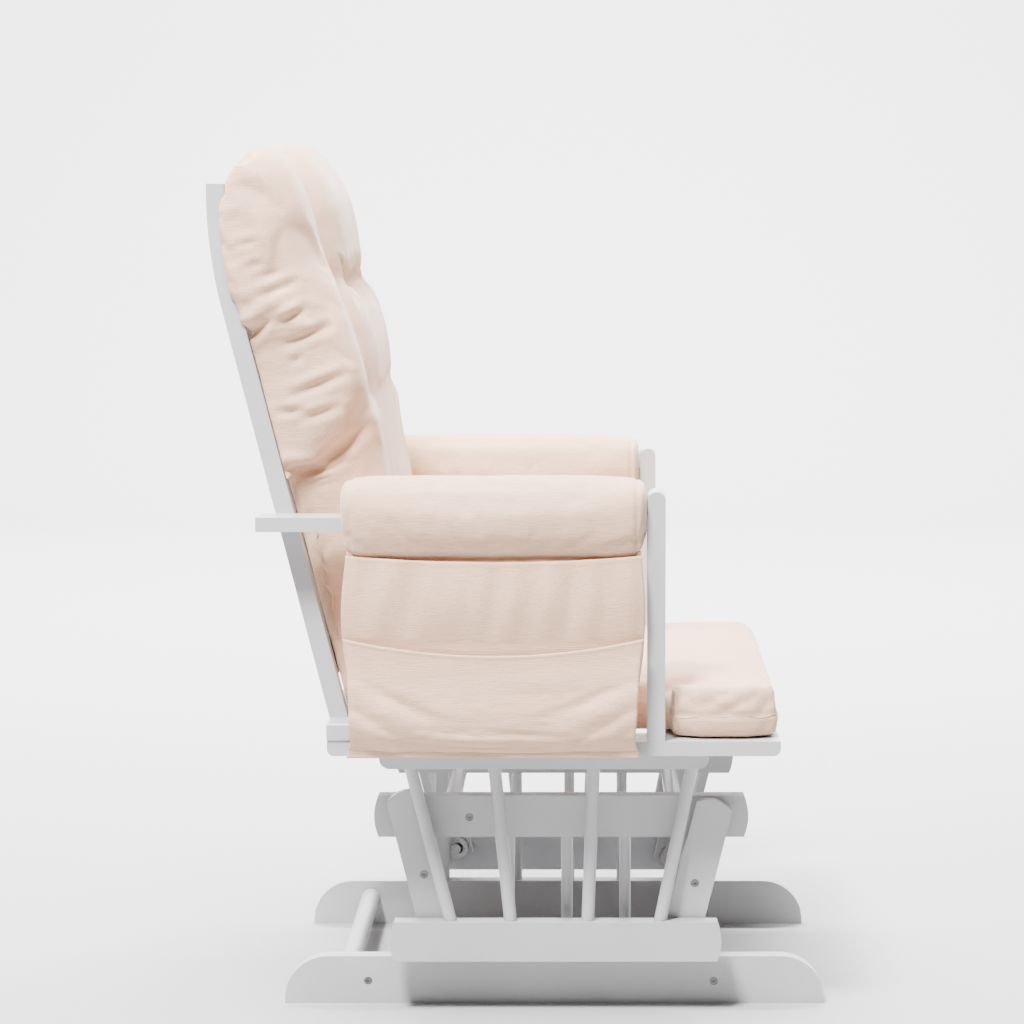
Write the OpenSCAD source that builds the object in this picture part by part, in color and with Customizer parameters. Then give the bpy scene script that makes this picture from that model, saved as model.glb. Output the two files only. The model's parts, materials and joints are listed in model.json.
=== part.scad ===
// Glider nursery chair: a seat hung on four swing arms from a standing base.
// +X is the way the sitter faces, +Y the sitter's left, +Z up.
// The origin is on the floor, under the middle of the whole chair.

/* [Base] */
// Length of each floor rail
floor_rail_len = 620; // [600:5:640]
// Front end of the floor rails, ahead of the origin
floor_rail_front = 347; // [340:0.5:352]
// Height of each floor rail
floor_rail_h = 55; // [50:1:56]
// Radius of the upper corners of a floor rail
floor_rail_r = 50; // [30:1:50]
// Thickness of every rail board
board_t = 22; // [20:1:22]
// Distance between the outer faces of the two floor rails
base_w = 428; // [420:2:428]
// Length of each upper rail
upper_rail_len = 428; // [410:2:440]
// Rear end of the upper rails
upper_rail_back = -169; // [-180:1:-160]
// Underside of the upper rails
upper_rail_z = 194; // [190:1:196]
// Height of the upper rails
upper_rail_h = 48; // [44:1:48]
// Diameter of the upright dowels in the base
base_spindle_d = 13; // [10:1:16]
// Distance between the upright dowels
base_spindle_gap = 66.5; // [50:0.5:68]
// Width of the square posts in the base
base_post_w = 18; // [14:1:20]
// Diameter of the two dowels across the floor rails
floor_dowel_d = 23; // [18:1:26]
// Diameter of the two dowels across the upper rails
upper_dowel_d = 19; // [14:1:22]

/* [Swing arms] */
// Distance between the two pivots of an arm
arm_len = 140; // [136:1:144]
// Slope of each arm from upright, tops apart
arm_slope = 14; // [12:0.5:15]
// Place of the front arm's upper pivot ahead of the origin
front_pivot_x = 215; // [213:0.5:217]
// Height of the front arm's upper pivot
front_pivot_z = 216; // [214:0.5:218]
// Place of the rear arm's upper pivot
rear_pivot_x = -128.5; // [-130:0.5:-127]
// Height of the rear arm's upper pivot
rear_pivot_z = 226.5; // [225:0.5:228]
// Width of an arm's wooden cover
cover_w = 42; // [38:1:44]
// Diameter of the pivot bolts
pivot_d = 8; // [6:0.5:8]
// Outer diameter of the bearings
bearing_d = 22; // [20:1:22]
// Bore of the rear lower bearing, wide enough for the linkage's true path
open_bore_d = 15; // [15:0.5:15.5]

/* [Seat frame] */
// Length of each glide rail
glide_rail_len = 376; // [370:2:380]
// Rear end of the glide rails
glide_rail_back = -149; // [-152:1:-146]
// Underside of the glide rails
glide_rail_z = 59.5; // [58:0.5:61]
// Height of the glide rails
glide_rail_h = 46; // [44:1:47]
// Underside of the seat frame
seat_z = 305; // [302:0.5:308]
// Thickness of the seat frame's boards
seat_t = 16.5; // [16:0.5:18]
// Width of the side rails and the arm boards
side_w = 46; // [42:1:46]
// Front end of the side rails
seat_front = 290; // [286:1:292]
// Height of the strips under the seat frame
apron_h = 24; // [20:1:26]
// Diameter of the seat's slanted dowels
seat_spindle_d = 14.5; // [12:0.5:16]
// Number of slats under the seat cushion
seat_slat_n = 5; // [4:1:6]

/* [Back and arms] */
// Slope of the back from upright
back_slope = 14.2; // [13:0.1:16]
// Thickness of the back stiles, front to back
stile_t = 20; // [18:1:20]
// Length of the straight stretch of a stile
stile_straight = 472; // [460:2:490]
// Angle through which a stile's top curves forward
stile_bend = 15.2; // [12:0.2:18]
// Radius of that curve
stile_bend_r = 530; // [480:10:560]
// Number of slats in the back
back_slat_n = 5; // [4:1:6]
// Height of the arm boards' undersides
arm_z = 555.5; // [550:0.5:560]
// Thickness of the arm boards
arm_t = 16; // [14:1:16]
// Rear end of the arm boards
arm_back = -291.5; // [-294:0.5:-286]
// Rear face of the front posts
post_x = 141.5; // [140:0.5:143]
// Front to back size of the front posts
post_t = 20; // [18:1:22]
// Top of the front posts
post_top = 600; // [595:1:605]

/* [Upholstery] */
// Width of the seat cushion
seat_cushion_w = 504; // [490:2:510]
// Width of the seat cushion in front of the posts
seat_ear_w = 608; // [560:2:612]
// Thickness of the seat cushion at its edge
seat_cushion_t = 66; // [56:1:70]
// Width of the back cushion
back_cushion_w = 488; // [470:2:490]
// Width of an arm pad
arm_pad_w = 88; // [84:1:90]
// Top of the arm pads
arm_pad_top = 616; // [612:1:618]
// Underside of the arm pads
arm_pad_z = 532; // [530:1:536]
// Clear depth of each side pocket
pocket_gap = 5; // [5:0.5:5]

/* [Hidden] */
$fn = 64;

RIGHT = -1;
LEFT = 1;
wood_colour = "whitesmoke";
cloth_colour = "antiquewhite";
steel_colour = "dimgray";
fit = 0.05;   // radial clearance of a dowel, bolt or bearing in its hole
eps = 0.01;   // how far a cut runs past the face it opens

// ---- planes across the chair, as distances from its middle plane
base_out = base_w/2;
base_in = base_out - board_t;
washer_t = 5;
arm_in = base_out + washer_t;
arm_plate_t = 4;
bearing_t = 7;
cover_in = arm_in + arm_plate_t;
cover_t = 14;
cover_out = cover_in + cover_t;
glide_in = cover_out + 2;
glide_out = glide_in + board_t;
glide_mid = (glide_in + glide_out)/2;
stile_in = 245;
stile_out = stile_in + board_t;
side_in = stile_out;
side_out = side_in + side_w;
side_mid = (side_in + side_out)/2;

// ---- swing arm pivots, in the X and Z of the rest pose
front_top = [front_pivot_x, front_pivot_z];
rear_top = [rear_pivot_x, rear_pivot_z];
front_low = front_top + arm_len*[-sin(arm_slope), -cos(arm_slope)];
rear_low = rear_top + arm_len*[sin(arm_slope), -cos(arm_slope)];
// The rear lower bearing's bore lies ahead of its bolt at rest, and comes
// back around it as the arms swing, because the real path isn't a circle.
open_shift = [3, 1];
cover_above = 25;  // from the upper pivot to the cover's top end
cover_below = 17;  // from the lower pivot to the cover's lower end
end_bulge = 5;     // rise of a rail's or cover's rounded end
hub_d = 27;        // round eye of an arm, around its bearing
cover_bolt_at = 73; // from the upper pivot down to the cover's bolt

// ---- seat levels
seat_top = seat_z + seat_t;
rear_rail_t = 20;
rear_rail_x = -215;
rear_rail_w = 27.5;
foot_x = -215;
foot_z = seat_top + rear_rail_t;
apron_z = seat_z - apron_h;
side_back = -214.5;
post_low = seat_top;

// Upper and lower ends of the seat's dowels, in X, on the facing rails
spindle_tops = [-125, -30, 82, 193];
spindle_feet = [-81, -12.5, 75.5, 158];
tenon = 9;  // how far a dowel goes into the rail it joins

// ---- plain shapes
// A board between two corners
module board(low, high) {
  translate(low) cube(high - low);
}

// Extrudes an outline drawn in X and Z from one distance across to another
module across(y0, y1) {
  translate([0, y1, 0]) rotate([90, 0, 0]) linear_extrude(y1 - y0) children();
}

// The same on the right or the left of the chair, y0 < y1 from the middle
module on_side(side, y0, y1) {
  if (side == RIGHT) across(-y1, -y0) children();
  else across(y0, y1) children();
}

// A round bar across the chair, from one distance to another
module pin(side, at, d, y0, y1) {
  translate([at[0], side*y0, at[1]]) rotate([-90*side, 0, 0]) cylinder(h = y1 - y0, d = d);
}

// A round bar or its hole between two points
module bar(from, to, d) {
  v = to - from;
  len = norm(v);
  translate(from) rotate([0, acos(v[2]/len), atan2(v[1], v[0])]) cylinder(h = len, d = d);
}

// Outline with both ends gently rounded, for a long rail
module rail_outline(len, h, bulge) {
  r = (h*h/4 + bulge*bulge)/(2*bulge);
  translate([bulge, 0]) square([len - 2*bulge, h]);
  intersection() {
    square([bulge, h]);
    translate([r, h/2]) circle(r = r, $fn = 240);
  }
  intersection() {
    translate([len - bulge, 0]) square([bulge, h]);
    translate([len - r, h/2]) circle(r = r, $fn = 240);
  }
}

// Places a shape drawn in the back's own plane: X across its thickness, Z up it
module along_back() {
  translate([foot_x, 0, foot_z]) rotate([0, -back_slope, 0]) children();
}

// ---- base
floor_bolt_x = [-177, 220];
floor_bolt_z = 26;
rear_dowel = [-201, 34];
front_dowel = [196, 34];
rear_high_dowel = [-83, 217];
front_high_dowel = [175, 217];
high_bolt = [-60, 217];
post_mid_x = [-110, 190];
spindle_mid_x = 51.5;
bolt_d = 6;
bolt_head_d = 9.5;
bolt_sink = 6;   // depth of the round recess over a bolt's head
bolt_len = 15;

function base_spindle_x(i) = spindle_mid_x + (i - 1)*base_spindle_gap;

// A hex socket bolt whose head lies in a recess, pointing inwards
module socket_bolt(side, at, face, len, head_d, d) {
  head_y = face - 1.5;
  difference() {
    union() {
      pin(side, at, head_d, head_y - 4, head_y);
      pin(side, at, d, head_y - len, head_y - 4);
    }
    translate([at[0], side*(head_y - 2.5), at[1]]) rotate([-90*side, 0, 0])
      cylinder(h = 3, d = head_d*0.5, $fn = 6);
  }
}

// The hole that a socket bolt needs
module socket_bolt_hole(side, at, face, len, head_d, d) {
  pin(side, at, head_d + 2*fit, face - 5.5, face + eps);
  pin(side, at, d + 2*fit, face - 1.5 - len - fit, face);
}

module floor_rail(side) {
  back = floor_rail_front - floor_rail_len;
  color(wood_colour) difference() {
    on_side(side, base_in, base_out) {
      translate([back + floor_rail_r, 0]) square([floor_rail_len - 2*floor_rail_r, floor_rail_h]);
      translate([back, 0]) square([floor_rail_len, floor_rail_h - floor_rail_r]);
      for (x = [back + floor_rail_r, floor_rail_front - floor_rail_r])
        intersection() {
          translate([x, floor_rail_h - floor_rail_r]) circle(r = floor_rail_r, $fn = 120);
          translate([back, 0]) square([floor_rail_len, floor_rail_h]);
        }
    }
    for (i = [0:2])
      translate([base_spindle_x(i), side*(base_in + base_out)/2, floor_rail_h - tenon])
        cylinder(h = tenon + eps, d = base_spindle_d + 2*fit);
    for (x = post_mid_x)
      base_post_shape(side, x, fit);
    for (at = [rear_dowel, front_dowel])
      pin(side, at, floor_dowel_d + 2*fit, base_in - eps, base_in + tenon + fit);
    for (x = floor_bolt_x)
      socket_bolt_hole(side, [x, floor_bolt_z], base_out, bolt_len, bolt_head_d, bolt_d);
  }
}

// A square post that runs into both rails
module base_post_shape(side, x, grow) {
  y = side*(base_in + base_out)/2;
  half = base_post_w/2 + grow;
  low = floor_rail_h - tenon - grow;
  high = upper_rail_z + tenon + grow;
  board([x - half, y - half, low], [x + half, y + half, high]);
}

module base_posts() {
  color(wood_colour)
    for (side = [RIGHT, LEFT], x = post_mid_x) base_post_shape(side, x, 0);
}

module base_spindles(side) {
  color(wood_colour)
    for (i = [0:2])
      translate([base_spindle_x(i), side*(base_in + base_out)/2, floor_rail_h - tenon + fit])
        cylinder(h = upper_rail_z - floor_rail_h + 2*tenon - 2*fit, d = base_spindle_d);
}

module upper_rail(side) {
  color(wood_colour) difference() {
    on_side(side, base_in, base_out)
      translate([upper_rail_back, upper_rail_z])
        rail_outline(upper_rail_len, upper_rail_h, end_bulge);
    for (i = [0:2])
      translate([base_spindle_x(i), side*(base_in + base_out)/2, upper_rail_z - eps])
        cylinder(h = tenon + eps, d = base_spindle_d + 2*fit);
    for (x = post_mid_x)
      base_post_shape(side, x, fit);
    for (at = [rear_high_dowel, front_high_dowel])
      pin(side, at, upper_dowel_d + 2*fit, base_in - eps, base_in + tenon + fit);
    for (at = [front_top, rear_top])
      pin(side, at, pivot_d + 2*fit, base_in + 3, base_out + eps);
    socket_bolt_hole(side, high_bolt, base_out, bolt_len, bolt_head_d, bolt_d);
  }
}

module cross_dowel(at, d) {
  color(wood_colour) across(-base_in - tenon, base_in + tenon) translate(at) circle(d = d);
}

module rear_floor_dowel() {
  cross_dowel(rear_dowel, floor_dowel_d);
}

module front_floor_dowel() {
  cross_dowel(front_dowel, floor_dowel_d);
}

module rear_upper_dowel() {
  cross_dowel(rear_high_dowel, upper_dowel_d);
}

module front_upper_dowel() {
  cross_dowel(front_high_dowel, upper_dowel_d);
}

module floor_rail_bolts() {
  color(steel_colour)
    for (side = [RIGHT, LEFT], x = floor_bolt_x)
      socket_bolt(side, [x, floor_bolt_z], base_out, bolt_len, bolt_head_d, bolt_d);
}

module upper_rail_bolts() {
  color(steel_colour)
    for (side = [RIGHT, LEFT])
      socket_bolt(side, high_bolt, base_out, bolt_len, bolt_head_d, bolt_d);
}

// ---- pivots on the base
pivot_head_d = 14;
pivot_head_t = 4;
washer_d = 14;

module upper_pivot_bolts() {
  color(steel_colour)
    for (side = [RIGHT, LEFT], at = [front_top, rear_top]) {
      pin(side, at, pivot_d, base_in + 3 + fit, arm_in + bearing_t + 0.2);
      pin(side, at, pivot_head_d, arm_in + bearing_t + 0.2, arm_in + bearing_t + 0.2 + pivot_head_t);
    }
}

module upper_pivot_washers() {
  color(steel_colour)
    for (side = [RIGHT, LEFT], at = [front_top, rear_top])
      difference() {
        pin(side, at, washer_d, base_out, arm_in - 0.1);
        pin(side, at, pivot_d + 2*fit, base_out - 1, arm_in + 1);
      }
}

// ---- swing arms
// Places a shape whose Z runs down the arm from the upper pivot
module at_arm(top, slope) {
  translate([top[0], 0, top[1]]) rotate([0, 180 + slope, 0]) children();
}

// Where an arm's lower eye lies along the arm, when its bore is shifted
function lower_eye(slope, shift) =
  [-shift[0]*cos(slope) + shift[1]*sin(slope),
   arm_len - shift[0]*sin(slope) - shift[1]*cos(slope)];

// Steel arm: a flat bar with a round eye at each end
module arm(side, top, slope, shift) {
  eyes = [[0, 0], lower_eye(slope, shift)];
  color(steel_colour) at_arm(top, slope) difference() {
    union() {
      board_between(side, [-10, 0], [10, arm_len], arm_in, cover_in);
      for (at = eyes) pin(side, at, hub_d, arm_in, arm_in + bearing_t);
    }
    for (at = eyes) pin(side, at, bearing_d + 2*fit, arm_in - 1, arm_in + bearing_t + 1);
    pin(side, [0, cover_bolt_at], bolt_d + 2*fit, arm_in - 1, cover_in + 1);
  }
}

// A board between two corners in X and Z, and two distances from the middle
module board_between(side, low, high, y0, y1) {
  if (side == RIGHT) board([low[0], -y1, low[1]], [high[0], -y0, high[1]]);
  else board([low[0], y0, low[1]], [high[0], y1, high[1]]);
}

// Wooden cover of an arm, with pockets for the eyes and the bolts
module cover(side, top, slope, shift, lower_hole_d) {
  low = lower_eye(slope, shift);
  color(wood_colour) at_arm(top, slope) difference() {
    on_side(side, cover_in, cover_out)
      translate([-cover_w/2, arm_len + cover_below]) rotate([0, 0, -90])
        rail_outline(arm_len + cover_above + cover_below, cover_w, end_bulge + 2);
    pin(side, [0, 0], hub_d + 1, cover_in - 1, arm_in + bearing_t + pivot_head_t + 1);
    pin(side, low, hub_d + 1, cover_in - 1, arm_in + bearing_t + 0.2);
    pin(side, low, lower_hole_d, cover_in, cover_out + 1);
    socket_bolt_hole(side, [0, cover_bolt_at], cover_out, 22, bolt_head_d, bolt_d);
  }
}

// A bearing, drawn as one ring
module bearing(side, at, bore) {
  difference() {
    pin(side, at, bearing_d, arm_in, arm_in + bearing_t);
    pin(side, at, bore, arm_in - 1, arm_in + bearing_t + 1);
  }
}

// The bolt of a cover, with its nut behind the arm
module cover_bolt(side, top, slope) {
  at_arm(top, slope) {
    socket_bolt(side, [0, cover_bolt_at], cover_out, cover_out - 1.5 - base_out - 1, bolt_head_d, bolt_d);
    difference() {
      translate([0, side*(arm_in - 3.6), cover_bolt_at]) rotate([-90*side, 0, 0])
        cylinder(h = 3.5, d = 11, $fn = 6);
      pin(side, [0, cover_bolt_at], bolt_d + 2*fit, base_out, arm_in + 1);
    }
  }
}

module front_arm(side) {
  arm(side, front_top, arm_slope, [0, 0]);
}

module rear_arm(side) {
  arm(side, rear_top, -arm_slope, open_shift);
}

module front_cover(side) {
  cover(side, front_top, arm_slope, [0, 0], 15);
}

module rear_cover(side) {
  cover(side, rear_top, -arm_slope, open_shift, 20);
}

module front_bearings() {
  color(steel_colour)
    for (side = [RIGHT, LEFT], at = [front_top, front_low])
      bearing(side, at, pivot_d + 2*fit);
}

module rear_bearings() {
  color(steel_colour)
    for (side = [RIGHT, LEFT]) {
      bearing(side, rear_top, pivot_d + 2*fit);
      bearing(side, rear_low + open_shift, open_bore_d);
    }
}

module front_cover_bolts() {
  color(steel_colour)
    for (side = [RIGHT, LEFT]) cover_bolt(side, front_top, arm_slope);
}

module rear_cover_bolts() {
  color(steel_colour)
    for (side = [RIGHT, LEFT]) cover_bolt(side, rear_top, -arm_slope);
}

// ---- pivots on the seat
lower_bolt_end = glide_in + 16;

module lower_pivot_bolts() {
  color(steel_colour)
    for (side = [RIGHT, LEFT], at = [front_low, rear_low]) {
      pin(side, at, pivot_d, arm_in - 0.3, lower_bolt_end);
      pin(side, at, pivot_head_d, arm_in - 0.3 - pivot_head_t, arm_in - 0.3);
    }
}

module lower_pivot_washers() {
  color(steel_colour)
    for (side = [RIGHT, LEFT], at = [front_low, rear_low])
      difference() {
        pin(side, at, 12, arm_in + bearing_t + 0.3, glide_in);
        pin(side, at, pivot_d + 2*fit, arm_in, glide_out);
      }
}

// ---- seat frame
module glide_rail(side) {
  color(wood_colour) difference() {
    on_side(side, glide_in, glide_out)
      translate([glide_rail_back, glide_rail_z])
        rail_outline(glide_rail_len, glide_rail_h, end_bulge);
    for (i = [0:3]) seat_spindle(side, i, fit);
    for (at = [front_low, rear_low])
      pin(side, at, pivot_d + 2*fit, glide_in - 1, lower_bolt_end + fit);
  }
}

// One slanted dowel, run a little way into both rails
module seat_spindle(side, i, grow) {
  foot = [spindle_feet[i], side*glide_mid, glide_rail_z + glide_rail_h];
  top = [spindle_tops[i], side*glide_mid, apron_z];
  along = (top - foot)/norm(top - foot);
  reach = (tenon + grow)*along;
  bar(foot - reach, top + reach, seat_spindle_d + 2*grow);
}

module seat_spindles(side) {
  color(wood_colour)
    for (i = [0:3]) seat_spindle(side, i, 0);
}

module apron(side) {
  back = -160;
  len = 372;
  color(wood_colour) difference() {
    on_side(side, glide_in, glide_out) {
      translate([back, apron_z + 12]) square([len, apron_h - 12]);
      translate([back + 12, apron_z]) square([len - 24, 13]);
      for (x = [back + 12, back + len - 12])
        translate([x, apron_z + 12]) circle(r = 12);
    }
    for (i = [0:3]) seat_spindle(side, i, fit);
  }
}

corner_r = 8;  // rounded outer corner of the seat frame

module side_rail(side) {
  color(wood_colour) difference() {
    on_side(side, side_in, side_out)
      translate([side_back, seat_z]) {
        translate([corner_r, 0]) square([seat_front - side_back - 2*corner_r, seat_t]);
        translate([0, corner_r]) square([seat_front - side_back, seat_t - corner_r]);
        for (x = [corner_r, seat_front - side_back - corner_r])
          translate([x, corner_r]) circle(r = corner_r);
      }
    frame_bolt_hole(side, post_x + post_t/2);
  }
}

// A bolt up through the side rail into a front post
module frame_bolt(side, x) {
  y = side*side_mid;
  translate([x, y, seat_z + 1.5]) cylinder(h = 4, d = bolt_head_d);
  translate([x, y, seat_z + 5.5]) cylinder(h = 45, d = bolt_d);
}

module frame_bolt_hole(side, x) {
  y = side*side_mid;
  translate([x, y, seat_z - eps]) cylinder(h = 5.5 + eps, d = bolt_head_d + 2*fit);
  translate([x, y, seat_z]) cylinder(h = 50.5 + fit, d = bolt_d + 2*fit);
}

module front_seat_rail() {
  color(wood_colour) board([seat_front - 47, -side_in, seat_z], [seat_front, side_in, seat_top]);
}

module rear_seat_rail() {
  color(wood_colour) board([rear_rail_x, -side_out - 1.5, seat_top],
                           [rear_rail_x + rear_rail_w, side_out + 1.5, foot_z]);
}

module seat_slats() {
  first = side_back + 4;
  last = seat_front - 47 - 34 - 46;
  step = (last - first)/(seat_slat_n - 1);
  color(wood_colour)
    for (i = [0:seat_slat_n - 1])
      board([first + i*step, -side_in, seat_z], [first + i*step + 46, side_in, seat_top - 2]);
}

// ---- back, in its own plane
// Outline of a stile: a straight stretch from its foot, then an arc
module stile_outline() {
  translate([0, -8]) square([stile_t, stile_straight + 8]);
  translate([stile_bend_r, stile_straight]) intersection() {
    difference() {
      circle(r = stile_bend_r, $fn = 360);
      circle(r = stile_bend_r - stile_t, $fn = 360);
    }
    polygon([[0, 0], [-2*stile_bend_r, 0],
             2*stile_bend_r*[-cos(stile_bend), sin(stile_bend)]]);
  }
}

arm_bolt_z = arm_z + arm_t/2;
// Where the stile's middle line crosses the arm board
arm_bolt_x = foot_x + stile_t/2/cos(back_slope) - (arm_bolt_z - foot_z)*tan(back_slope);

module arm_bolt_rear(side) {
  pin(side, [arm_bolt_x, arm_bolt_z], bolt_head_d, stile_in + 1.5, stile_in + 5.5);
  pin(side, [arm_bolt_x, arm_bolt_z], bolt_d, stile_in + 5.5, stile_out + 25);
}

module arm_bolt_front(side) {
  x = post_x + post_t;
  y = side*side_mid;
  translate([x - 5.5, y, arm_bolt_z]) rotate([0, 90, 0]) cylinder(h = 4, d = bolt_head_d);
  translate([x - 5.5, y, arm_bolt_z]) rotate([0, -90, 0]) cylinder(h = 45, d = bolt_d);
}

module arm_bolt_holes(side) {
  pin(side, [arm_bolt_x, arm_bolt_z], bolt_head_d + 2*fit, stile_in - eps, stile_in + 5.5);
  pin(side, [arm_bolt_x, arm_bolt_z], bolt_d + 2*fit, stile_in, stile_out + 25 + fit);
  x = post_x + post_t;
  y = side*side_mid;
  translate([x - 5.5, y, arm_bolt_z]) rotate([0, 90, 0])
    cylinder(h = 5.5 + eps, d = bolt_head_d + 2*fit);
  translate([x, y, arm_bolt_z]) rotate([0, -90, 0]) cylinder(h = 50.5 + fit, d = bolt_d + 2*fit);
}

module arm_bolts() {
  color(steel_colour)
    for (side = [RIGHT, LEFT]) {
      arm_bolt_rear(side);
      arm_bolt_front(side);
      frame_bolt(side, post_x + post_t/2);
    }
}

module stile(side) {
  color(wood_colour) difference() {
    intersection() {
      along_back() on_side(side, stile_in, stile_out) stile_outline();
      board([-500, -400, foot_z], [0, 400, 1200]);
    }
    arm_bolt_holes(side);
  }
}

top_rail_from = 3;   // angles up the stiles' curve between which the top rail lies
top_rail_to = 12.5;
top_rail_t = 16;
slat_low = 85;
slat_high = stile_straight + (stile_bend_r - stile_t)*sin(top_rail_from);

module back_top_rail() {
  mid_r = stile_bend_r - stile_t/2;
  color(wood_colour) along_back() across(-stile_in, stile_in)
    translate([stile_bend_r, stile_straight]) intersection() {
      difference() {
        circle(r = mid_r + top_rail_t/2, $fn = 360);
        circle(r = mid_r - top_rail_t/2, $fn = 360);
      }
      polygon([[0, 0],
               2*stile_bend_r*[-cos(top_rail_from), sin(top_rail_from)],
               2*stile_bend_r*[-cos(top_rail_to), sin(top_rail_to)]]);
    }
}

module back_lower_rail() {
  color(wood_colour) along_back()
    board([1, -stile_in, slat_low - 45], [stile_t - 1, stile_in, slat_low]);
}

module back_slats() {
  w = 40;
  gap = (2*stile_in - back_slat_n*w)/(back_slat_n + 1);
  color(wood_colour) along_back()
    for (i = [0:back_slat_n - 1]) {
      y = -stile_in + gap + i*(w + gap);
      board([6, y, slat_low], [14, y + w, slat_high - 0.3]);
    }
}

module front_post(side) {
  color(wood_colour) difference() {
    on_side(side, side_in, side_out) {
      translate([post_x, post_low]) square([post_t, post_top - post_low - post_t/2]);
      translate([post_x + post_t/2, post_top - post_t/2]) circle(d = post_t);
    }
    arm_bolt_holes(side);
    frame_bolt_hole(side, post_x + post_t/2);
  }
}

module arm_board(side) {
  color(wood_colour) difference() {
    board_between(side, [arm_back, arm_z], [post_x, arm_z + arm_t], side_in, side_out);
    arm_bolt_holes(side);
  }
}

// ---- upholstery
clear = 0.3;  // how far soft pieces keep off what they touch

// Outline with rounded corners, from its low left corner
module soft_outline(w, h, r) {
  translate([r, 0]) square([w - 2*r, h]);
  translate([0, r]) square([w, h - 2*r]);
  for (x = [r, w - r], y = [r, h - r])
    translate([x, y]) circle(r = r);
}

skin = 10;  // thickness of a cushion's padded cover around its soft filling

// The seat cushion is as wide as the seat frame ahead of the front posts
module seat_cushion() {
  back = -84;
  len = seat_front + 2 - back;
  half = seat_cushion_w/2;
  low = seat_top + clear;
  ear_back = post_x + post_t + 2.5;
  ear_len = seat_front + 2 - ear_back;
  color(cloth_colour) difference() {
    intersection() {
      across(-seat_ear_w/2 - 5, seat_ear_w/2 + 5)
        translate([back, low]) soft_outline(len, seat_cushion_t, 26);
      translate([0, 0, seat_z]) linear_extrude(200) {
        translate([back - 1, -half]) soft_outline(len + 2, 2*half, 45);
        translate([ear_back, -seat_ear_w/2]) soft_outline(ear_len + 1, seat_ear_w, 30);
      }
    }
    board([back + 24, -half + 24, low + skin], [seat_front - 22, half - 24, low + seat_cushion_t - skin]);
  }
}

// Keeps what lies ahead of the stiles' curve by a given gap
module ahead_of_stiles(gap) {
  difference() {
    children();
    translate([stile_bend_r, stile_straight]) difference() {
      translate([-2*stile_bend_r, 0]) square([2*stile_bend_r, stile_bend_r]);
      circle(r = stile_bend_r - stile_t - gap, $fn = 360);
    }
  }
}

// Outlines of the back cushion in the back's own plane
module cushion_body() {
  n0 = stile_t + clear;
  polygon([[n0, 5], [n0, 600], [100, 570], [146, 545], [134, 466], [143, 430], [144, 370],
           [138, 325], [136, 280], [126, 100], [118, -34], [38, -2]]);
  translate([85, 575]) circle(r = 64);
}

module cushion_wing() {
  n0 = stile_t + clear;
  polygon([[n0, 252], [54, 260], [90, 284], [122, 308], [132, 345], [133, 385], [122, 440],
           [121, 560], [60, 600], [n0, 590]]);
  translate([72, 576]) circle(r = 50);
}

module cushion_filling() {
  polygon([[34, 20], [34, 575], [110, 575], [122, 540], [122, 440], [131, 400], [131, 360],
           [124, 280], [115, 100], [108, -18], [55, 5]]);
  translate([85, 575]) circle(r = 64 - skin - 2);
}

module back_cushion() {
  half = back_cushion_w/2;
  color(cloth_colour) along_back() difference() {
    union() {
      across(-half, half) ahead_of_stiles(clear) cushion_body();
      across(-half - 18, half + 18) ahead_of_stiles(clear) cushion_wing();
    }
    across(-half + skin, half - skin) ahead_of_stiles(skin) cushion_filling();
  }
}

pad_back = -198;
pad_front = post_x - clear;
pad_in = side_mid - arm_pad_w/2;

module arm_pad(side) {
  len = pad_front - pad_back;
  h = arm_pad_top - arm_pad_z;
  color(cloth_colour) difference() {
    translate([pad_back, side*side_mid, arm_pad_z]) rotate([90, 0, 90])
      linear_extrude(len) translate([-arm_pad_w/2, 0]) soft_outline(arm_pad_w, h, 30);
    board_between(side, [pad_back - 1, arm_z - clear], [post_x, arm_z + arm_t + clear],
                  side_in - clear, side_out + clear);
  }
}

// ---- side panel and its two pockets
panel_back = -190;
panel_front = 136;
panel_low = 306;
panel_top = arm_pad_z - clear;
cloth_t = 3;
panel_in = side_out + 2;
upper_in = panel_in + cloth_t + pocket_gap;
lower_in = upper_in + cloth_t + pocket_gap;
hem = 6;            // sewn edge of a pocket
upper_rim = 530;    // height of the upper pocket's rim at its ends
lower_rim = 439;    // height of the lower pocket's rim at its ends
rim_sag = 19;       // how far the lower rim dips at its middle

module side_panel(side) {
  color(cloth_colour)
    board_between(side, [panel_back, panel_low], [panel_front, panel_top], panel_in, panel_in + cloth_t);
}

// A pocket: an outer sheet, and its sewn edges back to the sheet behind
module pocket(side, inner, rim, sag) {
  w = panel_front - panel_back;
  mid = (panel_front + panel_back)/2;
  r = (w*w/4 + sag*sag)/(2*sag);
  color(cloth_colour) difference() {
    board_between(side, [panel_back, panel_low], [panel_front, rim], inner - pocket_gap, inner + cloth_t);
    board_between(side, [panel_back + hem, panel_low + hem], [panel_front - hem, rim + 1],
                  inner - pocket_gap - 1, inner);
    pin(side, [mid, rim - sag + r], 2*r, inner - pocket_gap - 1, inner + cloth_t + 1);
  }
}

module upper_pocket(side) {
  pocket(side, upper_in, upper_rim, 7);
}

module lower_pocket(side) {
  pocket(side, lower_in, lower_rim, rim_sag);
}

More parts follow.
